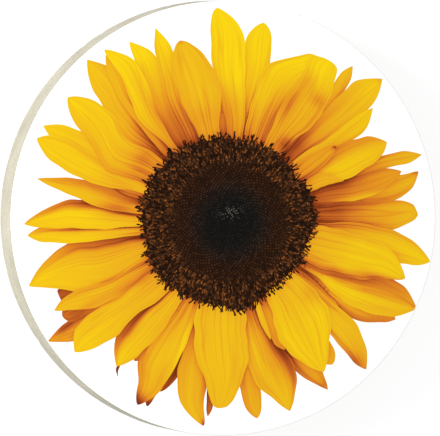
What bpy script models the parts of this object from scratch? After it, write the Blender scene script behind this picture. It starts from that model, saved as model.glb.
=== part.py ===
"""A round stone coaster, lying face up: a cork disc, a pale stone disc and a thin white coat that is printed on.

Metres, +Z up. The origin is at the middle of the underside, where the cork meets the table.
"""

import math

import bmesh
import bpy

# Driving dimensions
DIAMETER = 0.102          # a four inch coaster
WALL_HEIGHT = 0.0127      # half an inch, from the stone's underside to the printed face
COAT_THICKNESS = 0.0005   # white primer and ink, baked on
CORK_THICKNESS = 0.0016   # sheet cork, die cut
CORK_INSET = 0.003        # the stone overhangs the cork by this much all round
GAP = 0.0003              # left between solids that touch

# Edges
STONE_EDGE = 0.0008       # the tumbled round on the stone's rims
COAT_EDGE = 0.0002        # the coat thins out at the rim
CORK_EDGE = 0.0002        # cork softens only where the die presses it
SIDES = 144               # sides of each round piece
EDGE_STEPS = 3            # flats across each rounded edge
RIM_ANGLE = math.radians(30)   # edges sharper than this are rims, and get rounded

# Heights, worked out from the bottom up
STONE_BOTTOM = CORK_THICKNESS + GAP
STONE_THICKNESS = WALL_HEIGHT - COAT_THICKNESS - GAP
COAT_BOTTOM = STONE_BOTTOM + STONE_THICKNESS + GAP


def clear_scene():
    """Removes whatever the scene starts with."""
    for thing in list(bpy.data.objects):
        bpy.data.objects.remove(thing, do_unlink=True)


def make_material(name, colour, roughness):
    """A plain Principled material; colour is linear red, green and blue."""
    material = bpy.data.materials.new(name)
    material.use_nodes = True
    shader = material.node_tree.nodes["Principled BSDF"]
    shader.inputs["Base Color"].default_value = (*colour, 1.0)
    shader.inputs["Roughness"].default_value = roughness
    shader.inputs["Metallic"].default_value = 0.0
    material.diffuse_color = (*colour, 1.0)
    return material


def make_disc(name, radius, bottom, thickness, edge, material, parent):
    """A round slab standing on the height `bottom`, with both rims rounded by `edge`."""
    bm = bmesh.new()
    bmesh.ops.create_cone(
        bm, cap_ends=True, segments=SIDES, radius1=radius, radius2=radius, depth=thickness
    )
    mesh = bpy.data.meshes.new(name)
    bm.to_mesh(mesh)
    bm.free()
    mesh.materials.append(material)
    mesh.shade_smooth()
    mesh.set_sharp_from_angle(angle=RIM_ANGLE)

    disc = bpy.data.objects.new(name, mesh)
    bpy.context.scene.collection.objects.link(disc)
    disc.parent = parent
    disc.location.z = bottom + thickness / 2

    rounding = disc.modifiers.new("rounded rims", "BEVEL")
    rounding.width = edge
    rounding.segments = EDGE_STEPS
    rounding.limit_method = "ANGLE"
    rounding.angle_limit = RIM_ANGLE
    return disc


def make_stone_body(parent):
    """The heavy part: pale sandstone, sawn to a disc and tumbled so that its rims are soft."""
    sandstone = make_material("sandstone", (0.62, 0.57, 0.46), 0.85)
    return make_disc(
        "stone_body", DIAMETER / 2, STONE_BOTTOM, STONE_THICKNESS, STONE_EDGE, sandstone, parent
    )


def make_printed_face(parent):
    """The white coat over the whole face, out to the same radius as the stone."""
    white_coat = make_material("white_coat", (0.90, 0.90, 0.88), 0.45)
    return make_disc(
        "printed_face", DIAMETER / 2, COAT_BOTTOM, COAT_THICKNESS, COAT_EDGE, white_coat, parent
    )


def make_cork_backing(parent):
    """The cork disc that the coaster stands on, hidden under the stone's overhang."""
    cork = make_material("cork", (0.42, 0.24, 0.11), 0.9)
    return make_disc(
        "cork_backing", DIAMETER / 2 - CORK_INSET, 0.0, CORK_THICKNESS, CORK_EDGE, cork, parent
    )


def main():
    clear_scene()
    coaster = bpy.data.objects.new("coaster", None)
    bpy.context.scene.collection.objects.link(coaster)
    make_cork_backing(coaster)
    make_stone_body(coaster)
    make_printed_face(coaster)


main()
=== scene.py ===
# %% [markdown]
# A round stone coaster with a printed sunflower
#
# The real thing is a disc of pale sandstone, about as wide as a hand is across, with a thin white coat
# baked on its face, a sunflower printed in the coat and a sheet of cork glued underneath.
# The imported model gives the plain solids. This lesson gives each one its fine surface and its finish,
# and most of the work goes into the print: 56 petals that lie over each other, and a dark middle
# of three thousand florets in spirals.

# %% The frame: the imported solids, in metres
from itertools import chain

import bmesh
import bpy
import numpy as np
from mathutils import Matrix, Vector
from mathutils.geometry import delaunay_2d_cdt


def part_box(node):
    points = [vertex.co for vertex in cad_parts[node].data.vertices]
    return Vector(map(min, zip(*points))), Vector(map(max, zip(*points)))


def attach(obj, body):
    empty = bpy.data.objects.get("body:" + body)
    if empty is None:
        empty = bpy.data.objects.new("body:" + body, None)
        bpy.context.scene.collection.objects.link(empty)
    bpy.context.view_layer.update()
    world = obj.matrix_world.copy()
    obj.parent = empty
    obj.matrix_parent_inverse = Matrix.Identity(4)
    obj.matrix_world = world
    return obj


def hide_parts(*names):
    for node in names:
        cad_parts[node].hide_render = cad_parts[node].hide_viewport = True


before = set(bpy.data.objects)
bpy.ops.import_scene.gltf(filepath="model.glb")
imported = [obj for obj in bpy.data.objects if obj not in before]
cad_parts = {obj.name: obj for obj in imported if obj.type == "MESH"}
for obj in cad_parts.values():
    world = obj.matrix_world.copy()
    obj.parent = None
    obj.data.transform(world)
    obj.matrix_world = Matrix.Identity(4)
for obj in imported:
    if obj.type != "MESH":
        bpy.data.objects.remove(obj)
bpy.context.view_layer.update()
coat_low, coat_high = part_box("printed_face")
stone_low, stone_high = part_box("stone_body")
cork_low, cork_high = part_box("cork_backing")

MM = 0.001
FACE_RADIUS = (coat_high.x - coat_low.x) / 2
TOP = coat_high.z
print(f"face {2 * FACE_RADIUS / MM:.1f} mm across, {TOP / MM:.1f} mm above the table")

# %% [markdown]
# The camera
#
# The photo looks down on the face from a little to the left, which shows the wall as a crescent.
# The rim of the face and the rim behind it measure the same in the photo, so nothing shrinks with
# distance, and the camera stands far off with a very long lens. Its three axes are worked out as a
# matrix, because a camera that looks almost straight down has no natural "up" of its own.

# %% The camera
PHOTO_WIDTH = 440                    # pixels
PIXELS_PER_MM = 4.262                # at the face: its 102 mm take up 435 pixels
FACE_CENTRE_PIXEL = (223.7, 218.2)   # where the middle of the face lies in the photo
FRAME_CENTRE_PIXEL = (220.0, 218.0)
TILT = np.radians(12.2)              # off the face's axis, towards the left
TILT_TURN = np.radians(5.0)          # and a little towards the top of the flower
LENS = 1200.0
SENSOR = 36.0


def put(name, data):
    """Puts an object for a mesh, a camera or a lamp into the scene, at the origin."""
    made = bpy.data.objects.new(name, data)
    bpy.context.scene.collection.objects.link(made)
    return made


def aim_camera():
    """The camera's own axes are right, up and back. Back points from the face to the camera."""
    back = Vector((-np.sin(TILT) * np.cos(TILT_TURN), np.sin(TILT) * np.sin(TILT_TURN), np.cos(TILT)))
    right = Vector((0, 1, 0)).cross(back).normalized()
    up = back.cross(right)
    seen_width = PHOTO_WIDTH / PIXELS_PER_MM * MM
    distance = seen_width * LENS / SENSOR
    across, down = np.subtract(FACE_CENTRE_PIXEL, FRAME_CENTRE_PIXEL) / PIXELS_PER_MM * MM
    target = Vector((0, 0, TOP)) - right * across + up * down

    data = bpy.data.cameras.new("camera")
    data.lens, data.sensor_width = LENS, SENSOR
    camera = put("camera", data)
    axes = Matrix((right, up, back)).transposed().to_4x4()
    camera.matrix_world = Matrix.Translation(target + back * distance) @ axes
    bpy.context.scene.camera = camera
    return distance


print(f"the camera stands {aim_camera():.2f} m away")

# %% [markdown]
# Colours and nodes
#
# Finishes are written as sRGB hex values, the way a paint chart or a photo editor gives them. Blender
# works in linear light, so one function turns them. A second one adds a node, sets its sockets and
# links what feeds it, so that a material reads as a short list.


# %% Helpers for colours and nodes
def linear(hex_colour):
    """An sRGB hex colour as linear red, green and blue, by the sRGB curve, and an alpha of 1."""
    s = np.array([int(hex_colour[i:i + 2], 16) for i in (1, 3, 5)]) / 255
    light = np.where(s <= 0.04045, s / 12.92, ((s + 0.055) / 1.055) ** 2.4)
    return (*light.tolist(), 1.0)


def add(tree, kind, settings=None, *in_order, **by_name):
    """Adds a node; its kind is Blender's name for it without the ShaderNode in front. settings are its
    own properties, or one word, its operation. Its sockets are set in order, or by name, with _ for a
    space. A socket takes a number, a colour, or what feeds it: an output, or a node, of which the
    first output in use is meant."""
    node = tree.nodes.new("ShaderNode" + kind)
    if isinstance(settings, str):
        settings = {"operation": settings}
    for name, value in (settings or {}).items():
        setattr(node, name, value)
    sockets = [s for s in node.inputs if s.enabled]
    named = {s.name.replace(" ", "_"): s for s in reversed(sockets)}
    given = list(zip(sockets, in_order)) + [(named[name], value) for name, value in by_name.items()]
    for socket, value in given:
        if isinstance(value, bpy.types.Node):
            value = next(s for s in value.outputs if s.enabled)
        if isinstance(value, bpy.types.NodeSocket):
            tree.links.new(value, socket)
        else:
            socket.default_value = value
    return node


def new_material(name):
    """A material with no nodes yet, and its tree."""
    material = bpy.data.materials.new(name)
    material.use_nodes = True
    material.node_tree.nodes.clear()
    return material, material.node_tree


def set_stops(ramp, stops):
    """Gives a colour ramp its (place, hex colour) stops, and gives the node back."""
    elements = ramp.color_ramp.elements
    while len(elements) < len(stops):
        elements.new(0.5)
    for element, (place, colour) in zip(elements, stops):
        element.position, element.color = place, linear(colour)
    return ramp


print("warm grey in linear light:", [round(v, 3) for v in linear("#BBB8A9")[:3]])

# %% [markdown]
# Floor and light
#
# The photo is a high-key product shot: everything round the coaster is burnt out to white, with only
# a breath of shadow beside the rim. A white world gives the even light, a wide soft lamp at the upper
# left gives the wall its bright side, and the floor glows a little of its own, as a lit acrylic sheet
# does, so that it stays white where the coaster takes away half of its light.

# %% Floor and light
FLOOR_SIZE = 6.0
FLOOR_LEVEL = -0.02 * MM     # a hair below the cork, so that the two never fight for one plane
FLOOR_GLOW = 0.84
WORLD_STRENGTH = 0.70
LAMP_PLACE = (-1.1, 0.3, 0.70)
LAMP_SIZE, LAMP_POWER = 0.5, 17.5    # metres and watts


def make_floor():
    """Lit acrylic from above. From below it lets the view through, so the cork can be looked at."""
    mesh = bpy.data.meshes.new("floor")
    half = FLOOR_SIZE / 2
    sides = [(-half, -half), (half, -half), (half, half), (-half, half)]
    mesh.from_pydata([(x, y, FLOOR_LEVEL) for x, y in sides], [], [(0, 1, 2, 3)])
    material, tree = new_material("lit acrylic sheet")
    shader = add(
        tree, "BsdfPrincipled", Base_Color=linear("#818181"), Roughness=0.9,
        Specular_IOR_Level=0.0, Emission_Color=linear("#FFFFFF"), Emission_Strength=FLOOR_GLOW,
    )
    below = add(tree, "NewGeometry").outputs["Backfacing"]
    clear = add(tree, "BsdfTransparent")
    seen = add(tree, "MixShader", None, below, shader, clear)
    add(tree, "OutputMaterial", Surface=seen)
    mesh.materials.append(material)
    floor = put("floor", mesh)


def make_lamp():
    """A square soft box that faces the coaster."""
    data = bpy.data.lights.new("key soft box", "AREA")
    data.shape, data.size, data.energy = "SQUARE", LAMP_SIZE, LAMP_POWER
    lamp = put("key soft box", data)
    lamp.location = LAMP_PLACE
    lamp.rotation_euler = (-Vector(LAMP_PLACE)).to_track_quat("-Z", "Y").to_euler()


def make_world():
    """The same white light from every side."""
    world = bpy.data.worlds.new("white studio")
    world.use_nodes = True
    world.node_tree.nodes.clear()
    light = add(world.node_tree, "Background", Color=linear("#FFFFFF"), Strength=WORLD_STRENGTH)
    add(world.node_tree, "OutputWorld", Surface=light.outputs["Background"])
    bpy.context.scene.world = world


make_floor()
make_world()
make_lamp()
bpy.context.scene.view_settings.view_transform = "Standard"
print(f"one lamp of {LAMP_POWER} W, {Vector(LAMP_PLACE).length:.2f} m away")

# %% [markdown]
# Turned surfaces
#
# Stone, coat edge and cork are all round, so one helper turns a profile about the upright axis.
# A surface is a grid of points: one parameter runs along the profile, the other round the axis.
# A relief is added by moving each point towards the axis by a sum of waves with seeded directions,
# which is smooth, repeats nowhere on the object and needs no texture.


# %% Helpers for turned surfaces
def mesh_object(name, points, faces, materials):
    """A smooth mesh object at the origin, from points in metres and a list of each face's points."""
    mesh = bpy.data.meshes.new(name)
    mesh.from_pydata(points.tolist(), [], faces)
    for material in materials:
        mesh.materials.append(material)
    mesh.polygons.foreach_set("use_smooth", np.ones(len(faces), bool))
    return put(name, mesh)


def turns(sides):
    """Angles in radians, evenly round the circle from 0."""
    return np.arange(sides) * 2 * np.pi / sides


def turned_grid(radius, height, sides):
    """Points of a turned surface: (radius, height) of the profile, times `sides` angles round +Z."""
    x = radius[:, None] * np.cos(turns(sides))
    y = radius[:, None] * np.sin(turns(sides))
    z = np.broadcast_to(height[:, None], x.shape)
    return np.stack([x, y, z], axis=-1)


def grid_faces(rows, sides):
    """Quads between neighbouring rows of a grid that closes on itself sideways."""
    row, side = np.meshgrid(np.arange(rows - 1), np.arange(sides), indexing="ij")
    after = (side + 1) % sides
    quads = [row * sides + side, row * sides + after, (row + 1) * sides + after, (row + 1) * sides + side]
    return np.stack(quads, axis=-1).reshape(-1, 4).tolist()


def outward_from_axis(points):
    """For each point, the level direction of length 1 that leads away from the upright axis."""
    level = points * (1, 1, 0)
    return level / np.linalg.norm(level, axis=1, keepdims=True)


def waves(points, wavelength, count, seed):
    """A smooth random field from -1 to 1: the mean of sine waves in seeded directions, at about
    the given wavelength, scaled to fill that range."""
    rng = np.random.default_rng(seed)
    direction = rng.normal(size=(count, 3))
    direction /= np.linalg.norm(direction, axis=1, keepdims=True)
    number = 2 * np.pi / (wavelength * rng.uniform(0.7, 1.4, count))
    phase = rng.uniform(0, 2 * np.pi, count)
    total = np.zeros(len(points))
    for d, k, p in zip(direction, number, phase):
        total += np.sin(points @ d * k + p)
    return np.clip(total / np.sqrt(2 * count), -1, 1)


def arc(centre_radius, centre_height, radius, start, end, steps):
    """Profile points on a quarter round or less; angles in degrees, 0 outwards, 90 up."""
    angle = np.radians(np.linspace(start, end, steps))
    return centre_radius + radius * np.cos(angle), centre_height + radius * np.sin(angle)


def close_poles(made):
    """Fills the small round holes that a turned grid leaves at its two ends."""
    bm = bmesh.new()
    bm.from_mesh(made.data)
    open_edges = [e for e in bm.edges if e.is_boundary]
    bmesh.ops.holes_fill(bm, edges=open_edges, sides=0)
    bmesh.ops.recalc_face_normals(bm, faces=bm.faces)
    bm.to_mesh(made.data)
    bm.free()


POLE_HOLE = 0.5 * MM      # where a turned grid ends, short of the axis
sample = waves(np.linspace(0, 1, 2000)[:, None] * (1, 0, 0), 0.01, count=40, seed=1)
print(f"a relief of waves runs from {sample.min():.2f} to {sample.max():.2f} of its depth")

# %% [markdown]
# The stone
#
# Sandstone is quartz grains held by a paler cement. Sawn and tumbled, it is matt, with a grain that
# can just be felt and open pores where grains fell out. The wall is a fine turned grid, with long
# soft waves left by tumbling and a few hundred seeded pores. Everything is cut inwards, so
# the stone stays inside its solid. Colour comes from nodes: clouds of beige a few millimetres wide,
# and specks at the size of the grain.

# %% The stone
STONE_SIDES = 760
EDGE_ROWS, WALL_ROWS, UNDER_ROWS, OVER_ROWS = 7, 34, 24, 8
STONE_EDGE = 0.5 * MM
CLOUD = 9 * MM
GRAIN = 0.45 * MM
RELIEF_FROM, RELIEF_FULL = 48 * MM, 50 * MM      # from the axis: the flats stay flat
SOFT_WAVE, SOFT_DEPTH = 6 * MM, 0.018 * MM
FINE_WAVE, FINE_DEPTH = 1.2 * MM, 0.015 * MM
PORES = 260
PORE_WIDTH = (0.25 * MM, 0.6 * MM)


def sandstone():
    """Sandstone, sawn and tumbled: warm grey-beige clouds, grain specks, no gloss."""
    material, tree = new_material("sandstone, tumbled")
    place = add(tree, "TexCoord").outputs["Object"]
    clouds = add(tree, "TexNoise", Vector=place, Scale=1 / CLOUD, Detail=4.0, Roughness=0.6)
    grain = add(tree, "TexNoise", Vector=place, Scale=1 / GRAIN, Detail=2.0, Roughness=0.7)
    ground = set_stops(
        add(tree, "ValToRGB", Fac=clouds),
        [(0.25, "#AFAB9B"), (0.50, "#BBB8A9"), (0.75, "#C5C2B5")],
    )
    speck = set_stops(
        add(tree, "ValToRGB", Fac=grain),
        [(0.30, "#8E8774"), (0.45, "#D8D2C2"), (0.62, "#E9E5D8"), (0.75, "#FFFFFF")],
    )
    colour = add(
        tree, "Mix", {"data_type": "RGBA", "blend_type": "MULTIPLY"},
        Factor=0.45, A=ground, B=speck,
    )
    bump = add(tree, "Bump", Height=grain, Strength=0.35, Distance=0.1 * MM)
    shader = add(
        tree, "BsdfPrincipled", Base_Color=colour, Roughness=0.9, Specular_IOR_Level=0.2,
        Normal=bump,
    )
    add(tree, "OutputMaterial", Surface=shader)
    return material


def stone_profile():
    """(radius, height) from the middle of the underside out, up the wall and in over the top."""
    radius = (stone_high.x - stone_low.x) / 2
    inner = radius - STONE_EDGE
    low_r, low_h = arc(inner, stone_low.z + STONE_EDGE, STONE_EDGE, -90, 0, EDGE_ROWS)
    high_r, high_h = arc(inner, stone_high.z - STONE_EDGE, STONE_EDGE, 0, 90, EDGE_ROWS)
    wall = np.linspace(low_h[-1], high_h[0], WALL_ROWS)[1:-1]
    under = np.linspace(POLE_HOLE, inner, UNDER_ROWS)[:-1]
    over = np.linspace(inner, POLE_HOLE, OVER_ROWS)[1:]
    r = np.concatenate([under, low_r, np.full(len(wall), radius), high_r, over])
    h = np.concatenate([
        np.full(len(under), stone_low.z), low_h, wall, high_h, np.full(len(over), stone_high.z)
    ])
    return r, h


def pore_depth(points, radius):
    """How deep the pores go in at each point: a bell half as deep as it is wide round each centre."""
    rng = np.random.default_rng(13)
    turn = rng.uniform(0, 2 * np.pi, PORES)
    level = rng.uniform(stone_low.z, stone_high.z, PORES)
    width = rng.uniform(*PORE_WIDTH, PORES)
    centre = np.stack([radius * np.cos(turn), radius * np.sin(turn), level], axis=-1)
    depth = np.zeros(len(points))
    for c, w in zip(centre, width):
        away = ((points - c) ** 2).sum(axis=1) / w ** 2
        near = away < 9    # three widths
        depth[near] += 0.5 * w * np.exp(-away[near])
    return depth


def make_stone():
    """The profile, turned, and cut inwards by waves and pores. The cut fades in over the edges, with
    the square of the distance from the axis."""
    r, h = stone_profile()
    points = turned_grid(r, h, STONE_SIDES).reshape(-1, 3)
    soft = waves(points, SOFT_WAVE, count=40, seed=11)
    fine = waves(points, FINE_WAVE, count=60, seed=12)
    depth = SOFT_DEPTH * (1 + soft) + FINE_DEPTH * (1 + fine) + pore_depth(points, r.max())
    square = (points[:, :2] ** 2).sum(axis=1)
    on_wall = np.clip((square - RELIEF_FROM ** 2) / (RELIEF_FULL ** 2 - RELIEF_FROM ** 2), 0, 1)
    points = points - outward_from_axis(points) * (depth * on_wall)[:, None]

    stone = mesh_object("stone", points, grid_faces(len(r), STONE_SIDES), [sandstone()])
    close_poles(stone)
    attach(stone, "root")
    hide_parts("stone_body")
    return stone


stone = make_stone()
print(f"stone: {len(stone.data.polygons)} faces")

# %% [markdown]
# The cork
#
# Sheet cork is ground bark pressed together with a little glue, so it is a mosaic of grains two or
# three millimetres across, tan to dark brown, with dark seams. Cells of a Voronoi texture are
# that mosaic. The cut edge crumbles slightly, so it gets a relief of about a tenth of a millimetre.

# %% The cork
CORK_SIDES = 480
CORK_EDGE_ROWS, CORK_WALL_ROWS, CORK_UNDER_ROWS, CORK_OVER_ROWS = 4, 8, 60, 6
CORK_GRAIN = 2.2 * MM
CORK_SPECK = 0.4 * MM
CORK_EDGE = 0.2 * MM
CRUMB, CRUMB_DEPTH = 1.6 * MM, 0.06 * MM


def sheet_cork():
    """Agglomerated cork: a mosaic of bark grains with dark seams, quite matt."""
    material, tree = new_material("sheet cork")
    place = add(tree, "TexCoord").outputs["Object"]
    grains = add(tree, "TexVoronoi", Vector=place, Scale=1 / CORK_GRAIN)
    seams = add(tree, "TexVoronoi", {"feature": "DISTANCE_TO_EDGE"}, Vector=place, Scale=1 / CORK_GRAIN)
    fine = add(tree, "TexNoise", Vector=place, Scale=1 / CORK_SPECK, Detail=3.0)
    shade = add(tree, "SeparateColor", Color=grains.outputs["Color"])
    mosaic = set_stops(
        add(tree, "ValToRGB", Fac=shade),
        [(0.0, "#8A5A30"), (0.35, "#B07C48"), (0.8, "#C89760"), (1.0, "#6E4424")],
    )
    dark = set_stops(add(tree, "ValToRGB", Fac=seams), [(0.0, "#5A3A20"), (0.08, "#FFFFFF")])
    joined = add(tree, "Mix", {"data_type": "RGBA", "blend_type": "MULTIPLY"}, Factor=0.8, A=mosaic, B=dark)
    speckled = add(
        tree, "Mix", {"data_type": "RGBA", "blend_type": "OVERLAY"},
        Factor=0.35, A=joined, B=fine.outputs["Color"],
    )
    bump = add(tree, "Bump", Height=seams, Strength=0.4, Distance=0.2 * MM)
    shader = add(
        tree, "BsdfPrincipled", Base_Color=speckled, Roughness=0.92, Specular_IOR_Level=0.15,
        Normal=bump,
    )
    add(tree, "OutputMaterial", Surface=shader)
    return material


def make_cork():
    """A turned slab that reaches up to the stone through the glue line."""
    radius = (cork_high.x - cork_low.x) / 2
    inner = radius - CORK_EDGE
    top = stone_low.z
    low_r, low_h = arc(inner, CORK_EDGE, CORK_EDGE, -90, 0, CORK_EDGE_ROWS)
    wall = np.linspace(CORK_EDGE, top, CORK_WALL_ROWS)[1:]
    under = np.linspace(POLE_HOLE, inner, CORK_UNDER_ROWS)[:-1]
    over = np.linspace(radius, POLE_HOLE, CORK_OVER_ROWS)[1:]
    r = np.concatenate([under, low_r, np.full(len(wall), radius), over])
    h = np.concatenate([np.zeros(len(under)), low_h, wall, np.full(len(over), top)])
    points = turned_grid(r, h, CORK_SIDES).reshape(-1, 3)
    crumble = CRUMB_DEPTH * (1 + waves(points, CRUMB, count=60, seed=21))
    at_edge = np.hypot(points[:, 0], points[:, 1]) > radius - 1.5 * CORK_EDGE
    points = points - outward_from_axis(points) * (crumble * at_edge)[:, None]
    cork = mesh_object("cork", points, grid_faces(len(r), CORK_SIDES), [sheet_cork()])
    close_poles(cork)
    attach(cork, "root")
    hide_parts("cork_backing")
    return cork


cork = make_cork()
print(f"cork: {len(cork.data.polygons)} faces")

# %% [markdown]
# Where the petals lie
#
# A sunflower's ray florets grow in two or three rows round the disc. In the print they are flat shapes
# that lie over each other, so each one is described by its outline alone: where its tip points, how far
# it reaches, and at which angles its two edges cross four rings round the middle of the flower.
# Angles run clockwise from the top of the flower, in degrees. A short petal crosses fewer rings.
# The light is given at the root, half way and near the tip, from 0, a deep red-brown, to 10, yellow.
# Bluntness is 0 for a point and above a half for a round end. Lean is how much darker one side is,
# below zero the left one, and how far out from the middle line that shade starts.
# The rows run from the petals at the back to those in front.

# %% Where the petals lie
RINGS = np.array([23.5, 30.5, 37.5, 43.5])   # millimetres
# name: tip, reach, left edge at the rings, right edge at the rings, light, bluntness, lean if any
PETALS = {
    "A0": (-5.5, 37.3, (-10, -8), (1, 0), (6, 7, 7), 0.4),
    "AH0": (288, 31.5, (282.5, 284.5), (292, 290.5), (5, 6, 6), 0.4),
    "D": (38.3, 46.9, (37, 37.5, 37, 36.8), (41.5, 41.5, 42, 40.7), (4, 6, 8), 0.15, (1, 0.3)),
    "G": (70.8, 48.1, (67, 67.5, 66.6, 67.6), (72, 72, 71, 71.9), (3, 6, 8), 0.2, (-3, 0.3)),
    "M": (120.5, 45.5, (121, 122, 120, 118.5), (125.5, 128.4, 128, 123.2), (6, 7, 5.5), 0.15, (2, 0.2)),
    "Q": (149.6, 45.9, (148, 148, 147.6, 148.6), (158, 158, 156.5, 151.9), (5, 6, 6), 0.15, (2, 0.2)),
    "T": (172, 46.7, (168, 168, 169.2, 169.9), (174, 175, 176.7, 175.2), (6, 6.8, 6.8), 0.33, (2, 0.2)),
    "P2": (144, 41.5, (138, 138.8, 140), (146, 147, 147.4), (6, 6, 7), 0.45),
    "U2": (186.4, 46, (184, 185, 185.6, 185.2), (188, 188, 188, 187.2), (3, 3, 3), 0.25),
    "W": (202.3, 43, (197, 198.4, 198.4), (204, 204, 204.6), (2, 2, 3), 0.4),
    "X2": (214.5, 39.5, (210, 211, 212), (216, 216.5, 216), (3, 4, 4), 0.3),
    "AA": (236.9, 51, (233, 233, 232, 232), (239, 239, 239.2, 238.8), (5, 6.2, 6), 0.2, (2, 0.2)),
    "AB": (240.6, 45, (236, 235.5, 236.2, 237.6), (243, 243, 243.5, 243), (8.5, 9, 3.5), 0.42),
    "AD": (246.8, 43.6, (243, 243, 243, 244.5), (250, 250, 250, 248.6), (5, 5, 2.5), 0.4),
    "B": (9.7, 47.7, (4, 5, 4.8, 5.2), (12, 13, 14.6, 13.3), (4, 9, 10), 0.36),
    "AK": (318.9, 50.9, (310.5, 308.3, 310.8, 313.8), (323, 321.5, 321, 323), (4, 8, 8.5), 0.2, (1, 0.2)),
    "AL": (323.6, 49, (316, 317, 318, 320), (322, 321.5, 321.8, 324.6), (5, 7.5, 8), 0.3, (1, 0)),
    "AN": (331.1, 48.6, (323, 324, 326, 329.3), (337, 337, 336.8, 335.8), (4, 7, 10), 0.22),
    "AO": (339.2, 49, (331, 331, 334, 336.3), (342, 342, 342.4, 341.7), (4, 7.5, 10), 0.1, (-1, 0.2)),
    "A": (-3.3, 50.6, (-2, -4.7, -6.3, -5.7), (8.5, 7, 5.6, 4.7), (6, 10, 10.4), 0.4, (-1, 0.1)),
    "C1": (27.6, 44.3, (9.5, 11, 13.1, 24.4), (26, 27, 29.5, 32), (5, 8, 10), 0.45, (1, 0.3)),
    "E": (46.9, 49.4, (39.5, 40.3, 40.8, 41.4), (48, 50.5, 51.2, 50.6), (4, 7, 9), 0.16, (-1, 0.2)),
    "H2": (75.2, 46.2, (72, 73, 74, 74.8), (82, 83, 83.3, 80.1), (4.5, 6, 7), 0.16),
    "I": (87.9, 44.6, (80.6, 81.6, 82.3, 84.5), (92, 92.4, 93, 89.6), (4.5, 5.2, 7.5), 0.14, (-1, 0.3)),
    "J": (101.3, 48.35, (90.5, 90.3, 92.5, 96), (100, 103, 104, 103.6), (7, 8, 9), 0.26, (-2, 0.4)),
    "L": (115, 48.8, (117, 112, 108.9, 110.2), (122, 124.6, 124.1, 120.9), (7, 9, 8), 0.18, (-5, -0.1)),
    "N": (128, 32.8, (124.5, 126.8), (128.5, 129.3), (7, 8, 8), 0.2, (-2, 0)),
    "O": (137.2, 47.5, (127, 128, 128.5, 132.3), (134, 136.9, 138.3, 138.5), (7, 9, 7), 0.22, (3, 0.5)),
    "R": (162.3, 46.8, (161.5, 157.7, 155.9, 159.1), (172, 173, 171.3, 165.6), (6, 6.8, 8), 0.15, (-3, 0.4)),
    "V": (187.4, 48.3, (191, 190, 187.9, 188.1), (199.5, 199.8, 199, 195.7),
        (5, 6.6, 7.6), 0.33, (-3, 0.45)),
    "Xa": (204.2, 47.4, (199.8, 199.6, 200.8, 202.9), (207, 207, 207, 206.8), (8, 9, 7), 0.38),
    "Xb": (206.8, 48, (202, 202, 202, 202.8), (212, 214, 214.3, 209.6), (7, 8, 7), 0.34, (4, 0.6)),
    "Yh": (215.7, 44.9, (218, 218.4, 218.2, 217), (219.5, 219.8, 219.6, 217.9), (2, 2, 1), 0.1),
    "AE": (252.6, 49.4, (243, 241, 244.5, 249.3), (263.2, 263, 263.3, 259), (7, 8, 9), 0.15, (3.8, 0.32)),
    "AC": (243.4, 46, (237, 236.6, 237.8, 241.8), (245, 244, 246, 245.3), (6, 8, 8), 0.2, (2, 0.4)),
    "C2": (31.9, 44.8, (24.2, 23.8, 25.9, 26.4), (37.8, 41, 39, 35.5), (6, 7, 10), 0.55),
    "E2": (51.6, 43.2, (46.8, 49.7, 49.9), (53, 56, 56.3), (6, 8, 9), 0.2, (1, 0.4)),
    "H": (73.7, 42.3, (68.5, 69.8, 70.8), (78.3, 80.5, 78.4), (3, 4.4, 5.6), 0.25, (-1, 0.3)),
    "F": (63.2, 41.6, (58, 54.9, 57.6), (67, 69.9, 67.6), (9, 9, 8), 0.26, (-3, 0.1)),
    "F1": (70.2, 28.7, (61,), (69.4,), (6, 7, 7), 0.15),
    "F0": (54.7, 31, (51.5,), (60,), (5, 6, 6), 0.45, (1, 0.2)),
    "K": (107.8, 43.6, (92.5, 95.5, 99), (119.3, 115.7, 111), (7, 9, 9), 0.32, (4, 0.5)),
    "S1": (156.5, 32.8, (154, 156), (161.4, 159.8), (6, 7, 6), 0.4),
    "S2": (160.6, 29.4, (159.6,), (163.2,), (8, 8, 8), 0.4),
    "P": (147.8, 41.8, (128.3, 130.8, 141.2), (155, 157.2, 152.4), (8, 9, 9), 0.24),
    "U": (183.4, 43.9, (170.3, 171.7, 175.4, 181), (200.3, 195.8, 189, 184.8), (8, 8, 8), 0.22),
    "Y": (218.2, 43, (211.3, 211.8, 214.2), (224.6, 226.8, 224.9), (8, 8, 9), 0.19, (5, 0.25)),
    "Z": (230.2, 47.4, (221.8, 225.2, 225, 227.2), (238.3, 236, 237, 235.8), (7, 8, 9), 0.2, (1, 0.5)),
    "AF": (266.5, 47.5, (262.3, 262.4, 262.6, 264.1), (269, 269, 269, 269), (7, 9, 9), 0.3, (5, 0.1)),
    "AG": (269.8, 48.2, (267.6, 267.2, 268, 268.5), (277, 279.6, 278.5, 274.2), (8, 9, 9), 0.26, (6, 0.2)),
    "AH": (283, 46.4, (275.8, 276.6, 279.8, 281.8), (284.5, 286.8, 286.2, 284.2), (7, 8, 8), 0.14, (4, 0)),
    "AIb": (297.6, 49.3, (292, 292, 292.5, 294.2), (296, 298, 302, 301.2), (8, 9, 9), 0.24),
    "AIa": (293.7, 49.4, (288.5, 286.2, 286.8, 288.9), (294, 296.5, 297.5, 297.6), (9, 9, 9), 0.3),
    "AJ": (307.8, 48.1, (294.5, 292.6, 299.6, 303), (313, 309.4, 312.7, 311.8),
        (5.5, 8.3, 9.2), 0.28, (-2, 0.5)),
    "AM": (324.2, 50.2, (320.8, 318.6, 321.2, 323.6), (325.2, 326.8, 329.5, 329.8), (4.5, 8.5, 10), 0.35),
    "AP": (344.8, 44.4, (340, 337.9, 339.2, 342.9), (354, 356.4, 353.3, 347.2),
        (6, 7.8, 8.2), 0.2, (-1, 0.4)),
}
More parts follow.
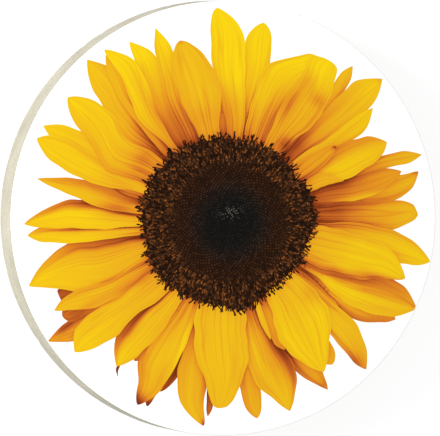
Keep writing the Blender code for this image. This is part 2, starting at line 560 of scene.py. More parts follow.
# Soft patches of shade or light on one petal: angle, distance, half sizes across and outwards in
# millimetres, and how many tenths of light they add.
PATCHES = {
    "C2": [(29.5, 38, 1.9, 2, -2), (35.5, 35.6, 2.6, 1.9, -3), (28.5, 34, 1.6, 2.6, -1),
           (26.5, 31, 1.5, 4, -2), (36, 22.5, 2, 2, -4)],
    "C1": [(23, 29, 1.8, 5, -2), (13, 31, 1.2, 4, 1), (18, 25, 2, 4, -1)],
    "F0": [(54.6, 30.4, 0.5, 0.4, -6)], "H": [(72, 26.5, 2, 4, -1), (80.2, 33, 1, 8, 4)],
    "E": [(42.5, 25, 2, 4, -1), (46.5, 48.9, 1.2, 0.8, -2), (42.5, 24, 2, 3, -1)],
    "Xa": [(203.6, 47.6, 2.4, 2.5, -8), (203, 31, 2, 6, 2)], "Xb": [(207.4, 48.4, 2.6, 2.8, -8)],
    "V": [(187, 48.2, 1, 1.4, -6)], "AP": [(344.8, 44.5, 1, 0.7, -3), (347, 26, 3, 2.5, -1)],
    "H2": [(75.3, 45.8, 1, 1, -3)], "AK": [(317, 28, 2.4, 5, -2)],
    "AN": [(329, 27, 4, 5, -1), (331, 46, 2, 4, 1)], "AO": [(336.5, 28, 4, 5, -1)],
    "J": [(92.5, 27.5, 1.8, 6, -1)],
    "K": [(96, 27, 2, 4, -1), (115, 29, 1, 6, -2), (111, 36, 1.2, 4, -3)],
    "O": [(137.6, 44.5, 1.6, 3.2, -3), (129.5, 31, 1.2, 6, -2)],
    "R": [(158, 37, 1, 5, -2), (161, 33, 1.5, 6, -2), (169, 31, 1.5, 6, 2)], "U": [(176, 38, 1.2, 4, -1)],
    "A": [(0.5, 27, 2.4, 3.5, -1)], "Z": [(236, 24.5, 1.2, 2.5, -2)], "AJ": [(307, 25.5, 3.5, 2.5, -2)],
    "AE": [(243.5, 33, 1.4, 6, -2)], "P": [(132, 25.5, 2.2, 2.5, -2)],
    "L": [(114.9, 48.6, 1, 0.9, -2), (121.5, 26.5, 1.5, 5, 2)], "AA": [(237.6, 46, 1.2, 2.5, -3)],
    "Q": [(150, 44.5, 1.5, 1.5, -2)], "AG": [(278.5, 27, 2, 4, -5)], "AH": [(277.5, 27, 1.5, 5, -4)],
    "M": [(125, 30, 2, 6, 2)], "AM": [(327, 31, 1.5, 5, -3)], "F": [(67, 22, 1.5, 2, -4)],
    "I": [(85, 25, 2, 4, -2)], "Y": [(222, 35, 1.5, 5, -2)],
    "AC": [(239.5, 38.5, 1, 5, -2), (238.5, 30, 1, 5, -2)], "AIa": [(289, 27, 1.5, 5, -2)],
}
# How far a petal stands off those under it, and so how strong its shade is. The rest have 1.
LIFT = {
    "C2": 0.35, "K": 0.8, "AIa": 0.3, "AIb": 0.6, "Xb": 0.3, "Xa": 0.7, "F1": 0.5, "F0": 0.6, "AJ": 0.7,
    "AO": 0.5, "C1": 0.6, "E2": 0.5, "P": 0.8, "S2": 0.5, "AC": 0.7, "AE": 0.7, "H": 0.6,
}
print(f"{len(PETALS)} petals, {sum(map(len, PATCHES.values()))} patches")

# %% [markdown]
# Angles and curves on the face
#
# The flower has a middle of its own, a little off the face's, and every point of the print is given by
# an angle and a distance from there. A petal's edges are known at a few distances only. A smooth curve
# leads through them, of a kind that doesn't swing out between two of them as a common spline can.

# %% Angles and curves on the face
FLOWER_CENTRE = np.array([1.39, -0.97])   # millimetres from the middle of the face
PRINT_SCALE = np.array([1.0190, 0.9960])  # of the table's sizes, across and up: printed a little wide


def smooth_through(known_x, known_y, x):
    """A curve through known points that never overshoots them: a cubic on each stretch, whose slope at
    a point is the harmonic mean of the slopes on both sides, or level where those differ in sign."""
    step = np.diff(known_x)
    climb = np.diff(known_y) / step
    product = climb[1:] * climb[:-1]
    total = climb[1:] + climb[:-1]
    inner = np.where(product > 0, 2 * product / np.where(total == 0, 1, total), 0)
    slope = np.concatenate([climb[:1], inner, climb[-1:]])
    i = np.clip(np.searchsorted(known_x, x) - 1, 0, len(step) - 1)
    t = (x - known_x[i]) / step[i]
    return (
        (2 * t ** 3 - 3 * t ** 2 + 1) * known_y[i] + (t ** 3 - 2 * t ** 2 + t) * step[i] * slope[i]
        + (3 * t ** 2 - 2 * t ** 3) * known_y[i + 1] + (t ** 3 - t ** 2) * step[i] * slope[i + 1]
    )


def turn_between(angle, other):
    """Degrees from other to angle, from -180 to 180."""
    return (angle - other + 180) % 360 - 180


def polar(angle, r):
    """Millimetres on the face from an angle clockwise from the top and a distance, round the flower."""
    a = np.radians(angle)
    return PRINT_SCALE * np.stack([r * np.sin(a), r * np.cos(a)], axis=-1) + FLOWER_CENTRE


def to_polar(points):
    """(distance, angle) of points in millimetres on the face."""
    x, y = ((points - FLOWER_CENTRE) / PRINT_SCALE).T
    return np.stack([np.hypot(x, y), np.degrees(np.arctan2(x, y))])


print("the flower's middle lies at", polar(0, 0), "mm on the face")

# %% [markdown]
# A petal as a function
#
# The edges between the rings are smooth curves through the given angles. It is easier to think of a
# petal's middle line and half its width: both are worked out at any distance from the flower's middle.
# Near the tip, half the width shrinks with a power of what is left of the petal: a power of a half
# gives a round tip, as on an ellipse, and one near 1 gives a point. Two sine waves ripple each edge.
# The same functions run backwards say where a point of the face lies on a petal, and that is
# all that the cutting and the shading below need.

# %% A petal as a function
PETAL_ROOT = 17.8                         # hidden under the florets
PRINT_RADIUS = FACE_RADIUS / MM - 0.25    # where the ink stops
ROOT_BEND = 0.3                           # of the middle line's turn between the first two rings
ROOT_WIDTH = 0.72                         # of the width at the first ring
RIPPLE = 0.022                            # of the half width
RIPPLES = (2.4, 5.3)                      # waves along one edge, coarse and fine
WIDEST = 32                               # degrees: no petal lies further than this from its tip
BARE = -1                                 # in place of a petal's number, on bare coat


class Petal:
    """One petal: its middle line and half width at any reach, and its light."""

    def __init__(self, name, tip, reach, left, right, light, blunt, lean=(0, 0)):
        left, right = np.array(left, float), np.array(right, float)
        rings = RINGS[:len(left)]
        middle, half = (left + right) / 2, (right - left) / 2 * np.radians(1) * rings
        root_middle = middle[0] + ROOT_BEND * (middle[0] - middle[:2][-1])
        self.tip, self.reach, self.power, self.light, self.lean = tip, reach, 1 - blunt, light, lean
        self.patches, self.lift = PATCHES.get(name, []), LIFT.get(name, 1)
        self.middle_at = np.concatenate([[PETAL_ROOT], rings, [reach]])
        self.middle = np.concatenate([[root_middle], middle, [tip]])
        self.half_at = self.left_over(np.concatenate([[reach], rings[::-1], [PETAL_ROOT]]))
        self.half = np.concatenate([[0], half[::-1], [half[0] * ROOT_WIDTH]])
        self.phase = np.random.default_rng(int(tip * 10) + 5000).uniform(0, 2 * np.pi, (2, 2))

    def along(self, r):
        """From 0 at the root to 1 at the tip."""
        return (r - PETAL_ROOT) / (self.reach - PETAL_ROOT)

    def left_over(self, r):
        """What is left of the petal beyond r, from 1 at the root to 0 at the tip, to the petal's power."""
        return np.clip(1 - self.along(r), 0, 1) ** self.power

    def halves(self, r):
        """The middle line's angle in degrees, and the width on its left and right in millimetres."""
        r = np.clip(r, PETAL_ROOT, self.reach)
        angle = smooth_through(self.middle_at, self.middle, r)
        half = smooth_through(self.half_at, self.half, self.left_over(r))
        turns = 2 * np.pi * np.multiply.outer(self.along(r), RIPPLES)
        left, right = (half * (1 + RIPPLE * np.sin(turns + p).sum(axis=-1)) for p in self.phase)
        return angle, left, right

    def edge(self, r, across, beyond=0.0):
        """Points at distance r: across is -1 at the left edge and 1 at the right one, and beyond is
        how many millimetres further out from the middle line."""
        angle, left, right = self.halves(r)
        side = np.sign(across)
        sideways = across * (left if across < 0 else right) + side * beyond
        return polar(angle + np.degrees(sideways / r), r)

    def lies(self, where):
        """For points (r, angle): across from -1 to 1, along from 0 to 1, and the distance in
        millimetres outside the petal's edge, which is below zero inside it."""
        r, turn = where
        angle, left, right = self.halves(r)
        sideways = np.radians(turn_between(turn, angle)) * r
        half = np.where(sideways < 0, left, right)
        beyond = np.clip(r - self.reach, 0, None)
        gap = np.abs(sideways) - half
        outside = np.where(beyond > 0, np.hypot(np.clip(gap, 0, None), beyond), gap)
        return sideways / np.maximum(half, 0.05), self.along(r), outside


petals = [Petal(name, *row) for name, row in PETALS.items()]
print(f"widest petal: {2 * max(petal.half.max() for petal in petals):.1f} mm")


def topmost(points):
    """The number of the petal that lies on top at each point, or BARE."""
    where = to_polar(points)
    found = np.full(len(points), BARE)
    for index, petal in enumerate(petals):
        near = np.flatnonzero(np.abs(turn_between(where[1], petal.tip)) < WIDEST)
        across, along, outside = petal.lies(where[:, near])
        found[near[(outside < 0) & (along < 1)]] = index
    return found


# %% [markdown]
# The stamens
#
# The dark middle of the flower ends in a lumpy round, and along it stamens stand out over the petals:
# short rods, a little bent, each with a thicker end. A seeded draw throws them.

# %% The stamens
# The middle's outer edge: degrees clockwise from the top, and millimetres from the middle
DISC_EDGE = {0: 19.8, 14: 19.6, 24: 19.6, 35: 19.8, 46: 19.1, 55: 19.0, 66: 19.8, 72: 20.0, 81: 20.1,
             92: 20.2, 102: 18.9, 117: 19.0, 131: 18.8, 147: 18.4, 156: 19.4, 173: 20.8, 181: 20.5,
             191: 19.8, 205: 20.0, 218: 20.3, 226: 20.6, 240: 21.0, 250: 20.5, 260: 20.0, 276: 20.7,
             285: 21.0, 291: 20.9, 305: 20.7, 313: 20.8, 322: 20.8, 336: 20.4, 342: 20.4, 349: 19.8}
STAMENS = 430
STAMEN_SHIFT = 0.6       # either way, of the step from one to the next
STAMEN_LENGTH, STAMEN_WIDTH = (0.8, 2.4), (0.12, 0.23)
STAMEN_LEAN = 42         # degrees, either way
STAMEN_BEND = 0.35       # millimetres at the tip
STAMEN_FOOT = (0.2, 1.1)     # millimetres inside the edge
UP_AND_DOWN = np.array([0.0, 0.5, 0.72, 0.94, 1.0, 0.94, 0.72, 0.5, 0.0])        # of the length
LEFT_TO_RIGHT = np.array([-0.9, -0.6, -1.1, -0.8, 0.0, 0.8, 1.1, 0.6, 0.9])      # of the width
rng = np.random.default_rng(5)


def disc_edge(angle):
    """The dark middle's outer edge: a lumpy round, known at some angles, with two fine ripples."""
    a = np.radians(angle)
    lumpy = np.interp(angle, list(DISC_EDGE), list(DISC_EDGE.values()), period=360)
    return lumpy + 0.22 * np.cos(17 * a + 2) * np.cos(3 * a) + 0.16 * np.cos(31 * a + 4)


def stamen_outlines():
    """Short rods: nine points each, up the left side, over the tip and down the right side. The middle
    line bends sideways with the square of the way along it."""
    angle = (np.arange(STAMENS) + rng.uniform(-STAMEN_SHIFT, STAMEN_SHIFT, STAMENS)) * 360 / STAMENS
    length = rng.uniform(*STAMEN_LENGTH, STAMENS)
    lean = np.radians(rng.uniform(-STAMEN_LEAN, STAMEN_LEAN, STAMENS))
    bend = rng.uniform(-STAMEN_BEND, STAMEN_BEND, STAMENS)
    width = rng.uniform(*STAMEN_WIDTH, STAMENS)
    foot = polar(angle, disc_edge(angle) - rng.uniform(*STAMEN_FOOT, STAMENS))
    out = np.radians(angle) + lean
    ahead = np.stack([np.sin(out), np.cos(out)], axis=-1)
    side = np.stack([np.cos(out), -np.sin(out)], axis=-1)
    reach = length[:, None] * UP_AND_DOWN
    sideways = width[:, None] * LEFT_TO_RIGHT + bend[:, None] * UP_AND_DOWN ** 2
    return foot[:, None] + ahead[:, None] * reach[..., None] + side[:, None] * sideways[..., None]


stamens = stamen_outlines()
print(f"{STAMENS} stamens, {min(DISC_EDGE.values())} to {max(DISC_EDGE.values())} mm from the middle")

# %% [markdown]
# The florets
#
# The middle of a sunflower is packed by a rule: each new floret is turned by the golden angle from
# the one before, and sits further out as a power of its number, so that each has the room it needs.
# The eye then sees spirals. Every floret is a light point, and the middle of every three neighbours
# is a dark one, so the triangles between them give soft dots. The outer florets are open and stand
# less orderly, so they are shaken.

# %% The florets
GOLDEN_ANGLE = 137.508
FLORETS = 3000
FLORET_REACH = 20.8      # millimetres
FLORET_POWER = 0.60      # above a half: outer florets have more room
SHAKE = ((13.0, 16.0, 19.0), (0.0, 0.22, 0.30))    # at three distances, in millimetres


def place_florets():
    """Floret n sits n golden angles round and at the reach times (n / all)^power, then is shaken."""
    number = np.arange(FLORETS) + 0.5
    r = FLORET_REACH * (number / FLORETS) ** FLORET_POWER
    shake = np.interp(r, *SHAKE)[:, None]
    return polar(number * GOLDEN_ANGLE, r) + shake * rng.uniform(-1, 1, (FLORETS, 2))


def triangulate(points, edges, closeness):
    """Delaunay triangles of flat points, in which the edges given are kept. Gives the points, which
    gain one where edges cross and lose one where two are close, the triangles, and the numbers of the
    given points that each point stands for."""
    made = delaunay_2d_cdt([Vector(p) for p in points.tolist()], edges, [], 0, closeness)
    return np.array(made[0]), np.array(made[2]), made[3]


floret_points = place_florets()
seam_points = floret_points[triangulate(floret_points, [], 1e-5)[1]].mean(axis=1)
print(f"{FLORETS} florets, {len(seam_points)} seams between them")

# %% [markdown]
# Cutting the face
#
# The print has no thickness: it is the top of the coat, cut along every outline that shows.
# The cutting needs the outlines, and loose points wherever the light changes: rows along the petals,
# rows just outside each edge where its shade falls, and the florets. A drawing gathers them.

# %% Points and lines for the cut
OUTLINE_STEPS = 46
SHADE_ROWS = (0.15, 0.4, 0.9, 1.8)   # millimetres outside an edge
INNER_ROWS = (-0.92, -0.75, -0.5, -0.2, 0.2, 0.5, 0.75, 0.92)    # from edge to edge
ROW_STEP = 1.1            # millimetres between the points of a row
ROW_FROM, ROW_TO = 1.2, 0.4     # millimetres left free at the root and at the tip
CLEAR_OF_RIM = 0.1        # millimetres
UNDER_DISC = 0.3          # how far inside the florets' edge the petals are left out
DISC_STEP = 1.5           # degrees
RAGGED = 0.35             # millimetres, either way


def held_in(points, limit):
    """Points beyond the limit are drawn in to it: the ink stops there."""
    r = np.linalg.norm(points, axis=1, keepdims=True)
    return points * np.minimum(1, limit / r)


def under_disc(points):
    """Whether each point is well inside the florets' edge."""
    r, angle = to_polar(points)
    return r < disc_edge(angle) - UNDER_DISC


class Drawing:
    """Points and the edges between some of them, gathered for the triangulation."""

    def __init__(self):
        self.points, self.edges, self.marks, self.count = [], [], [], 0

    def dots(self, points, marks=None):
        """Loose points. A mark above zero is a floret's number, and the stamens' numbers follow those."""
        self.points.append(points)
        self.marks.append(np.zeros(len(points), int) if marks is None else marks)
        self.count += len(points)

    def line(self, points, keep, closed, marks=None):
        """A line through points; an edge stays only if an end of it is kept."""
        start = np.arange(len(points))
        ends = np.roll(start, -1)
        if not closed:
            start, ends = start[:-1], ends[:-1]
        used = keep[start] | keep[ends]
        wanted = np.zeros(len(points), bool)
        wanted[start[used]] = True
        wanted[ends[used]] = True
        renumber = np.cumsum(wanted) - 1 + self.count
        self.edges.extend(zip(renumber[start[used]].tolist(), renumber[ends[used]].tolist()))
        self.dots(points[wanted], None if marks is None else marks[wanted])


def draw_petals(drawing):
    """Each petal's outline where no other lies on it, with its points crowded at the tip by a sine,
    then loose points in rows along it, and in rows outside it where a petal below shows."""
    ease = np.sin(np.linspace(0, np.pi / 2, OUTLINE_STEPS))
    for index, petal in enumerate(petals):
        r = PETAL_ROOT + (petal.reach - PETAL_ROOT) * ease
        outline = held_in(np.concatenate([petal.edge(r, -1), petal.edge(r[::-1], 1)[1:]]), PRINT_RADIUS)
        shows = (topmost(outline) <= index) & ~under_disc(outline)
        drawing.line(outline, shows, closed=False)

        r = np.arange(PETAL_ROOT + ROW_FROM, petal.reach - ROW_TO, ROW_STEP)
        inner = np.concatenate([petal.edge(r, a) for a in INNER_ROWS])
        on_top = topmost(inner) == index
        rows = np.concatenate([petal.edge(r, side, off) for off in SHADE_ROWS for side in (-1, 1)])
        below = topmost(rows)
        loose = np.concatenate([inner[on_top], rows[(below >= 0) & (below < index)]])
        well_in = np.linalg.norm(loose, axis=1) < PRINT_RADIUS - CLEAR_OF_RIM
        drawing.dots(loose[~under_disc(loose) & well_in])


def draw_disc(drawing):
    """The florets' edge, ragged by a seeded draw, and the stamens, marked but for their dark feet."""
    angle = np.arange(0, 360, DISC_STEP)
    ragged = disc_edge(angle) + rng.uniform(-RAGGED, RAGGED, len(angle))
    edge = polar(angle, ragged)
    drawing.line(edge, np.ones(len(edge), bool), closed=True)
    for number, rod in enumerate(stamens):
        marks = np.where(UP_AND_DOWN > 0, FLORETS + 1 + number, 0)
        marks[1] = 0    # one side of the foot is dark a little way up
        drawing.line(rod, np.ones(len(rod), bool), closed=True, marks=marks)
    return edge


print(f"a petal has up to {2 * OUTLINE_STEPS - 1} points round it and {len(INNER_ROWS)} rows on it")

# %% [markdown]
# The cut
#
# A constrained Delaunay triangulation makes triangles between all points, and keeps every line as an
# edge of some of them. Its triangles are turned to face up. The rim's own points are kept by number,
# because the coat's side is joined on there.

# %% The cut
RIM_SIDES = 288
COAT_EDGE = 0.2           # millimetres: the coat's rounded rim
FLAT_RADIUS = FACE_RADIUS / MM - COAT_EDGE


def signed_areas(points, triangles):
    """Half the cross product of two sides of each triangle: above zero where it runs anticlockwise."""
    (ax, ay), (bx, by), (cx, cy) = (points[triangles[:, i]].T for i in range(3))
    return ((bx - ax) * (cy - ay) - (by - ay) * (cx - ax)) / 2


def cut_face():
    """The top, cut up: points in millimetres, triangles, marks, the rim's points, the disc's outline.
    The cut is whole if the triangles' areas add up to the rim's own, which is n/2 r^2 sin(2 pi / n)."""
    drawing = Drawing()
    turn = turns(RIM_SIDES)
    rim = FLAT_RADIUS * np.stack([np.cos(turn), np.sin(turn)], axis=-1)
    drawing.line(rim, np.ones(RIM_SIDES, bool), closed=True)
    draw_petals(drawing)
    edge = draw_disc(drawing)
    inner = under_disc(floret_points)
    drawing.dots(floret_points[inner], np.flatnonzero(inner) + 1)
    drawing.dots(seam_points[under_disc(seam_points)])
    points, triangles, stands_for = triangulate(np.concatenate(drawing.points), drawing.edges, 1e-4)
    areas = signed_areas(points, triangles)
    triangles = np.where(areas[:, None] < 0, triangles[:, ::-1], triangles)
    whole = RIM_SIDES / 2 * FLAT_RADIUS ** 2 * np.sin(2 * np.pi / RIM_SIDES)
    print(f"the triangles cover {np.abs(areas).sum() / whole:.6f} of the face")

    given = np.fromiter(chain.from_iterable(stands_for), int)
    number = np.repeat(np.arange(len(points)), np.fromiter(map(len, stands_for), int))
    # A point that stands for several keeps the highest of their marks
    marks = np.zeros(len(points), int)
    np.maximum.at(marks, number, np.concatenate(drawing.marks)[given])
    on_rim = given < RIM_SIDES
    rim_numbers = np.zeros(RIM_SIDES, int)
    rim_numbers[given[on_rim]] = number[on_rim]
    return points, triangles, marks, rim_numbers, edge


face_points, face_triangles, face_marks, rim_numbers, disc_outline = cut_face()
print(f"the face: {len(face_points)} points, {len(face_triangles)} triangles")

# %% [markdown]
# Light on the petals
#
# The flower in the print was lit softly, so a petal goes from a deep orange root to a clear yellow tip,
# and is darker where another one lies over it: a soft shade a few millimetres wide, deepest near the
# florets, and a thin dark line along the upper one's edge. All of it is a function of where a
# point lies on its own petal and how far outside the edges of the others.

# %% Light on the petals
LIGHT_PLACES = (0.08, 0.5, 0.9)         # along the petal, for the table's three lights
LEAN_EASE = 0.4                         # of the half width, from full light to full lean
LEAN_FADES = ((0, 0.55, 0.85, 1), (1, 1, 0.6, 0.35))    # along the petal
EDGES_DARKER = 0.05
SOFT_SHADE, SOFT_WIDTH = 0.22, 1.6      # of full light, and millimetres
LINE_SHADE, LINE_WIDTH = 0.20, 0.24
SHADE_TURN = 12                         # degrees past a petal that its shade may reach
SHADE_FADES = ((21, 29, 44), (0.85, 0.60, 0.28))        # with the distance from the middle
DISC_SHADE, DISC_SHADE_WIDTH = 0.20, 1.1
DARKEST = 0.02


def rise(low, high, x):
    """From 0 at low to 1 at high, eased at both ends."""
    t = np.clip((x - low) / (high - low), 0, 1)
    return t * t * (3 - 2 * t)


def light_on(index, points):
    """Light from 0 to 1 at points of one petal."""
    petal = petals[index]
    where = to_polar(points)
    r, angle = where
    across, along, _ = petal.lies(where)
    light = np.interp(along, LIGHT_PLACES, petal.light) / 10
    amount, start = petal.lean
    side = rise(start, start + LEAN_EASE, across * (1 if amount > 0 else -1))
    light = light - 0.1 * abs(amount) * side * np.interp(along, *LEAN_FADES)
    light = light - EDGES_DARKER * across ** 2
    for middle, distance, wide, tall, tenths in petal.patches:
        sideways = np.radians(turn_between(angle, middle)) * r
        light = light + 0.1 * tenths * np.exp(-(sideways / wide) ** 2 - ((r - distance) / tall) ** 2)
    depth = np.interp(r, *SHADE_FADES)
    for other in petals[index + 1:]:
        near = np.flatnonzero(np.abs(turn_between(angle, other.tip)) < WIDEST + SHADE_TURN)
        if len(near):
            outside = np.clip(other.lies(where[:, near])[2], 0, None)
            soft = SOFT_SHADE * np.exp(-(outside / SOFT_WIDTH) ** 1.3)
            light[near] -= other.lift * depth[near] * (soft + LINE_SHADE * np.exp(-outside / LINE_WIDTH))
    from_disc = np.clip(r - disc_edge(angle), 0, None)
    return np.clip(light - DISC_SHADE * np.exp(-from_disc / DISC_SHADE_WIDTH), DARKEST, 1)


front = len(petals) - 1
middle_line = petals[front].edge(RINGS[:3], 0)
print("light at three rings of the front petal:", light_on(front, middle_line).round(2))

# %% [markdown]
# Light on the florets
#
# Florets open from the outside in. The closed ones in the middle are nearly black, with a pale cluster
# at the very middle, and the rows round them are brown. Each has a tint of its own, from a seeded draw.

# %% Light on the florets
FLORET_LIGHT = ((0, 5.0, 9.5, 13.0, 21), (0.20, 0.22, 0.37, 0.38, 0.40))     # at five distances
SEAM_LIGHT = ((5.0, 9.5), (0.02, 0.09))
FLORET_TINTS = (0.5, 1.2)
PALE_FLORETS = 0.92       # a floret of the pale cluster has at least this tint
PALE_PLACE, PALE_SIZE, PALE_LIGHT = (0.2, 2.2), (2.6, 1.7), 0.60
STAMEN_LIGHT = (0.05, 0.50)
INK_BEYOND, INK_FADE = 0.7, 1.1   # millimetres: how far past their edge open florets go, and fade over


def light_on_florets(points, mark):
    """Light from 0 to 1 in the middle: closed florets nearly black, then neat rows. Marks past the last
    floret's are the stamens'. Also from 0 to 1: how surely the point is inside the florets' edge."""
    r, angle = to_polar(points)
    dice = np.random.default_rng(8)
    tint = dice.uniform(*FLORET_TINTS, FLORETS + STAMENS + 1)
    pollen = dice.uniform(0, 1, FLORETS + STAMENS + 1) ** 2
    off = (points - FLOWER_CENTRE - PALE_PLACE) / PALE_SIZE
    pale = PALE_LIGHT * np.exp(-(off ** 2).sum(axis=-1)) * (tint[mark] > PALE_FLORETS)
    floret = np.interp(r, *FLORET_LIGHT) * tint[mark] + pale
    rod = STAMEN_LIGHT[0] + STAMEN_LIGHT[1] * pollen[mark]
    seam = np.interp(r, *SEAM_LIGHT)
    light = np.clip(np.select([mark > FLORETS, mark > 0], [rod, floret], seam), DARKEST, 1)
    return light, np.clip((disc_edge(angle) - r + INK_BEYOND) / INK_FADE, 0, 1)


floret_light = light_on_florets(floret_points, np.arange(FLORETS) + 1)[0]
print(f"light on the florets: {floret_light.min():.2f} to {floret_light.max():.2f}")

# %% [markdown]
# Enamel and the petals' ink
#
# The coat is baked enamel, and satin. An ink is a ramp from shade to light on it. A petal's streaks come
# from three noises stretched along it, up to two millimetres wide and up to 26 long, and its veins from
# a fourth. All run with the petal's own two directions.

# %% Enamel and the petals' ink
STREAKS = ((1.9, 26, 0.24), (0.7, 14, 0.15), (0.3, 7, 0.08))     # width and length in mm, strength
VEIN_WIDTH, VEIN_LENGTH, VEIN_DARK = 1.7, 45, 0.17


def enamel(name):
    """Baked white enamel, satin. Gives the material, its tree, and the socket that ink feeds."""
    material, tree = new_material(name)
    shader = add(
        tree, "BsdfPrincipled", Base_Color=linear("#F6F6F4"), Roughness=0.6,
        Specular_IOR_Level=0.04,
    )
    add(tree, "OutputMaterial", Surface=shader)
    return material, tree, shader.inputs["Base Color"]


def petal_ink():
    """Yellow ink: light and three sizes of streak are added up, less a dark line wherever a stretched
    noise passes a half, which is a vein. Veins are strongest at the root."""
    material, tree, ink = enamel("yellow petal ink on enamel")
    total = add(tree, "Attribute", {"attribute_name": "light"}).outputs["Fac"]
    place = add(tree, "UVMap", {"uv_map": "petal_uv"})
    for width, length, strength in STREAKS:
        drawn_out = add(tree, "Mapping", Vector=place, Scale=(1 / width, 1 / length, 1))
        streak = add(tree, "TexNoise", Vector=drawn_out, Scale=1.0, Detail=1.0)
        centred = add(tree, "Math", "SUBTRACT", streak, 0.5)
        total = add(tree, "Math", "MULTIPLY_ADD", centred, strength, total)
    drawn_out = add(tree, "Mapping", Vector=place, Scale=(1 / VEIN_WIDTH, 1 / VEIN_LENGTH, 1))
    level = add(tree, "TexNoise", Vector=drawn_out, Scale=1.0, Detail=0.0)
    centred = add(tree, "Math", "SUBTRACT", level, 0.5)
    beside = add(tree, "Math", "ABSOLUTE", centred)
    vein = add(tree, "MapRange", Value=beside, From_Max=0.05, To_Min=-VEIN_DARK, To_Max=0.0)
    reach = add(tree, "SeparateXYZ", Vector=place).outputs["Y"]
    depth = add(tree, "MapRange", Value=reach, From_Min=2, From_Max=22, To_Min=1.4, To_Max=0.7)
    total = add(tree, "Math", "MULTIPLY_ADD", vein, depth, total)
    colour = set_stops(add(tree, "ValToRGB", Fac=total), [
        (0.00, "#6D2C0C"), (0.14, "#9A4318"), (0.28, "#B85E1E"), (0.40, "#CA751F"), (0.52, "#D68C1B"),
        (0.64, "#DA9D19"), (0.76, "#DDAA17"), (0.88, "#E2B712"), (1.00, "#E8C60E"),
    ])
    tree.links.new(colour.outputs["Color"], ink)
    return material


white_enamel = enamel("white baked enamel")[0]
yellow_ink = petal_ink()
print(f"petal ink: {len(yellow_ink.node_tree.nodes)} nodes")

# %% [markdown]
# The florets' ink
#
# Brown ink on the same enamel, from two ramps: a cool one in the middle and a warm one round it.
# The open florets are too many to cut, so a Voronoi texture draws them, less regular than the real ones.

# %% The florets' ink
OPEN_RING = 17            # millimetres from the middle, where a cell has its right width
CELL_WIDTH, CELL_LENGTH = 0.38, 0.85
CELL_DARK, CELL_LIGHT = 0.08, 0.84      # the least light of a cell, and what the brightest has on top
CELL_BENDS = 2.4          # cells out of line
OPEN_FROM, OPEN_FULL, OPEN_RAGGED = 14.8, 16.6, 4.0


def floret_ink():
    """Closed florets come with the mesh. The open ones round them are cells drawn out along the radius:
    their texture space is a cylinder, with the direction from the middle on its wall and the distance
    up it, so that a cell is about twice as long as it is wide, and no seam shows."""
    material, tree, ink = enamel("dark brown floret ink on enamel")
    light = add(tree, "Attribute", {"attribute_name": "light"}).outputs["Fac"]
    inside = add(tree, "Attribute", {"attribute_name": "inside"}).outputs["Fac"]
    place = add(tree, "UVMap", {"uv_map": "petal_uv"})
    r = add(tree, "VectorMath", "LENGTH", place).outputs["Value"]
    direction = add(tree, "VectorMath", "NORMALIZE", place)
    wall = add(tree, "VectorMath", "SCALE", direction, Scale=OPEN_RING / CELL_WIDTH)
    level = add(tree, "Math", "DIVIDE", r, CELL_LENGTH)
    raised = add(tree, "CombineXYZ", Z=level)
    on_wall = add(tree, "VectorMath", "ADD", wall, raised)
    bends = add(tree, "TexNoise", Vector=place, Scale=1.1, Detail=1.0).outputs["Color"]
    bent = add(tree, "VectorMath", "MULTIPLY_ADD", bends, 3 * (CELL_BENDS,), on_wall)
    cells = add(tree, "TexVoronoi", Vector=bent, Scale=1.0)
    dice = add(tree, "SeparateColor", Color=cells.outputs["Color"])
    skewed = add(tree, "Math", "POWER", dice, 1.2)
    rounded = add(
        tree, "MapRange", Value=cells.outputs["Distance"], From_Min=0.15, From_Max=0.8,
        To_Min=1.0, To_Max=0.0,
    )
    lit = add(tree, "Math", "MULTIPLY", rounded, skewed)
    lit = add(tree, "Math", "MULTIPLY_ADD", lit, CELL_LIGHT, CELL_DARK)
    ragged = add(tree, "TexNoise", Vector=place, Scale=0.35, Detail=2.0)
    border = add(tree, "Math", "MULTIPLY_ADD", ragged, OPEN_RAGGED, r)
    is_open = add(tree, "MapRange", Value=border, From_Min=OPEN_FROM, From_Max=OPEN_FULL)
    is_open = add(tree, "Math", "MULTIPLY", is_open, inside)
    total = add(tree, "Mix", None, is_open, light, lit)
    warm = set_stops(add(tree, "ValToRGB", Fac=total), [
        (0.00, "#0E0602"), (0.15, "#211006"), (0.42, "#4C2C15"), (0.62, "#774018"), (1.00, "#B06826"),
    ])
    cool = set_stops(add(tree, "ValToRGB", Fac=total), [
        (0.00, "#080706"), (0.15, "#171513"), (0.40, "#403C38"), (0.70, "#706C68"), (1.00, "#9A9894"),
    ])
    outward = add(tree, "MapRange", Value=r, From_Min=5.0, From_Max=11.0)
    colour = add(tree, "Mix", {"data_type": "RGBA"}, outward, cool, warm)
    tree.links.new(colour.outputs["Result"], ink)
    return material


brown_ink = floret_ink()
print(f"floret ink: {len(brown_ink.node_tree.nodes)} nodes")

# %% [markdown]
# What each triangle shows
#
# Each triangle belongs to what lies on top at its middle: a petal, a floret or bare coat. Each of its
# corners gets its light and its place in the ink's own millimetres, which the coat's mesh will carry.

# %% What each triangle shows
ON_FLORETS = -2           # in place of a petal's number, on florets and stamens
PETAL_APART = 17.3        # millimetres between two petals in the ink's pattern, so that none repeats


def inside_any(points, outlines):
    """Whether each point lies in one of the outlines: a ray from it crosses that outline oddly often."""
    x, y = points.T
    found = np.zeros(len(points), bool)
    for outline in outlines:
        ax, ay = outline.T
        bx, by = np.roll(outline, -1, axis=0).T
        near = np.flatnonzero((x > ax.min()) & (x < ax.max()) & (y > ay.min()) & (y < ay.max()))
        px, py = x[near][:, None], y[near][:, None]
        crosses = (ay > py) != (by > py)
        level = np.where(by == ay, 1, by - ay)
        hit = crosses & (px < (bx - ax) * (py - ay) / level + ax)
        found[near] |= hit.sum(axis=1) % 2 == 1
    return found


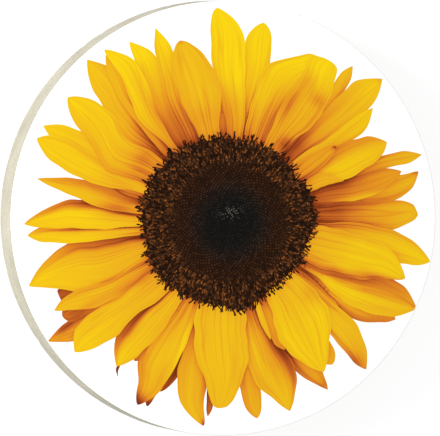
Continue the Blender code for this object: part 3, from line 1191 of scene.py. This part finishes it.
def whose_triangle(middles):
    """For each triangle, by its middle: a petal's number, BARE or ON_FLORETS."""
    owner = topmost(middles)
    owner[np.linalg.norm(middles, axis=1) > PRINT_RADIUS] = BARE
    owner[inside_any(middles, [disc_outline, *stamens])] = ON_FLORETS
    return owner


def print_values(owner):
    """For each triangle's corners: light, how surely they are inside the florets' edge, and place, in
    millimetres across and along the petal, or from the middle of the florets."""
    light, inside = np.zeros((2, *face_triangles.shape))
    place = np.zeros((*face_triangles.shape, 2))
    for index, petal in enumerate(petals):
        mine = owner == index
        if not mine.any():
            continue
        where = face_points[face_triangles[mine].ravel()]
        light[mine] = light_on(index, where).reshape(-1, 3)
        across, along, _ = petal.lies(to_polar(where))
        x = np.clip(across, -1, 1) * petal.half.max() + PETAL_APART * index
        y = along * (petal.reach - PETAL_ROOT)
        place[mine] = np.stack([x, y], axis=-1).reshape(-1, 3, 2)
    mine = owner == ON_FLORETS
    corners = face_triangles[mine].ravel()
    on_florets = light_on_florets(face_points[corners], face_marks[corners])
    light[mine], inside[mine] = np.reshape(on_florets, (2, -1, 3))
    place[mine] = face_points[face_triangles[mine]] - FLOWER_CENTRE
    return light, inside, place


owner = whose_triangle(face_points[face_triangles].mean(axis=1))
print(f"triangles: {np.mean(owner >= 0):.0%} on petals, {np.mean(owner == ON_FLORETS):.0%} on florets")

# %% [markdown]
# The printed coat
#
# The cut face becomes a mesh, with the corners' values as attributes and a UV map. A turned skirt
# closes the coat: over the rim, down to the stone, and in under the face. Low on the rim the enamel
# has thinned out, so those rows have the stone's finish.

# %% The printed coat
BARE_ROW = 4              # of the skirt: from here on stone shows
COAT_LAP = 0.6 * MM       # of the underside, from the rim in
WHITE, YELLOW, BROWN, BARE_STONE = range(4)


def coat_profile():
    """(radius, height) of the coat from its flat face out over the rim, down and in under the face."""
    edge = COAT_EDGE * MM
    r, h = arc(FACE_RADIUS - edge, TOP - edge, edge, 90, 0, EDGE_ROWS)
    r = np.concatenate([r[1:], [FACE_RADIUS, FACE_RADIUS - COAT_LAP]])
    h = np.concatenate([h[1:], [stone_high.z, stone_high.z]])
    return r, h


def make_printed_coat(owner):
    """The cut face, its skirt, of quads from the rim's own points down the rows of the profile, and
    one flat face underneath."""
    r, h = coat_profile()
    top = np.column_stack([face_points * MM, np.full(len(face_points), TOP)])
    skirt = turned_grid(r, h, RIM_SIDES).reshape(-1, 3)
    grid = np.concatenate([rim_numbers[None], len(top) + np.arange(len(skirt)).reshape(len(r), -1)])
    after = np.roll(grid, -1, axis=1)
    quads = np.stack([grid[1:], after[1:], after[:-1], grid[:-1]], axis=-1).reshape(-1, 4)
    faces = face_triangles.tolist() + quads.tolist() + [grid[-1][::-1].tolist()]
    finishes = [white_enamel, yellow_ink, brown_ink, stone.data.materials[0]]
    coat = mesh_object("printed_coat", np.concatenate([top, skirt]), faces, finishes)

    slot = np.full(len(faces), WHITE)
    slot[:len(owner)] = np.select([owner >= 0, owner == ON_FLORETS], [YELLOW, BROWN], WHITE)
    slot[len(owner) + BARE_ROW * RIM_SIDES:] = BARE_STONE
    coat.data.polygons.foreach_set("material_index", slot)
    coat.data.polygons.foreach_set("use_smooth", np.arange(len(faces)) >= len(owner))

    light, inside, place = print_values(owner)
    spare = len(coat.data.loops) - light.size
    for name, values in (("light", light), ("inside", inside)):
        attribute = coat.data.attributes.new(name, "FLOAT", "CORNER")
        attribute.data.foreach_set("value", np.concatenate([values.ravel(), np.zeros(spare)]))
    layer = coat.data.uv_layers.new(name="petal_uv")
    layer.data.foreach_set("uv", np.concatenate([place.ravel(), np.zeros(2 * spare)]))
    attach(coat, "root")
    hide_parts("printed_face")
    return coat


coat = make_printed_coat(owner)
print(f"coat: {len(coat.data.polygons)} faces")
